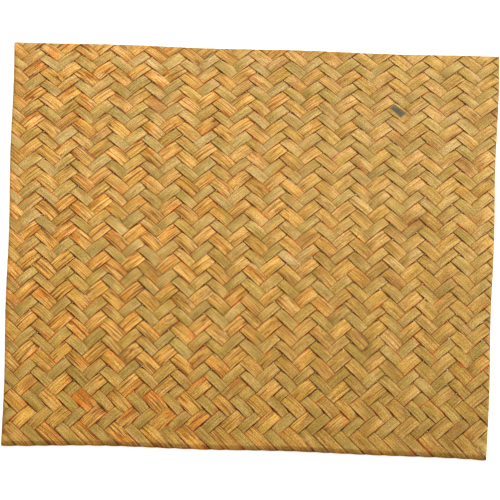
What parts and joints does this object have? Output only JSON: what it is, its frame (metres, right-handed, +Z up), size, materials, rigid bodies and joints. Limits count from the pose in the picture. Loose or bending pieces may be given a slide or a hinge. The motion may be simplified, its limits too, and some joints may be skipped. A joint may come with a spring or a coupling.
{
  "type": "woven bamboo placemat",
  "caption": "Flat, nearly square table mat of bamboo strips plaited on the bias in a herringbone twill, with strips turned back at every edge.",
  "frame": {"origin": "middle of the flat underside, on the surface that the mat lies on", "axes": "+Z up, +Y from the bordered near edge to the far edge, along the float columns, +X to the right along the near edge"},
  "size_m": [0.3534, 0.3502, 0.0028],
  "materials": {
    "bamboo_strip": "dry split bamboo, satin, golden tan and olive strips"
  },
  "bodies": {
    "root": {"woven_mat": "bamboo_strip"}
  },
  "joints": []
}
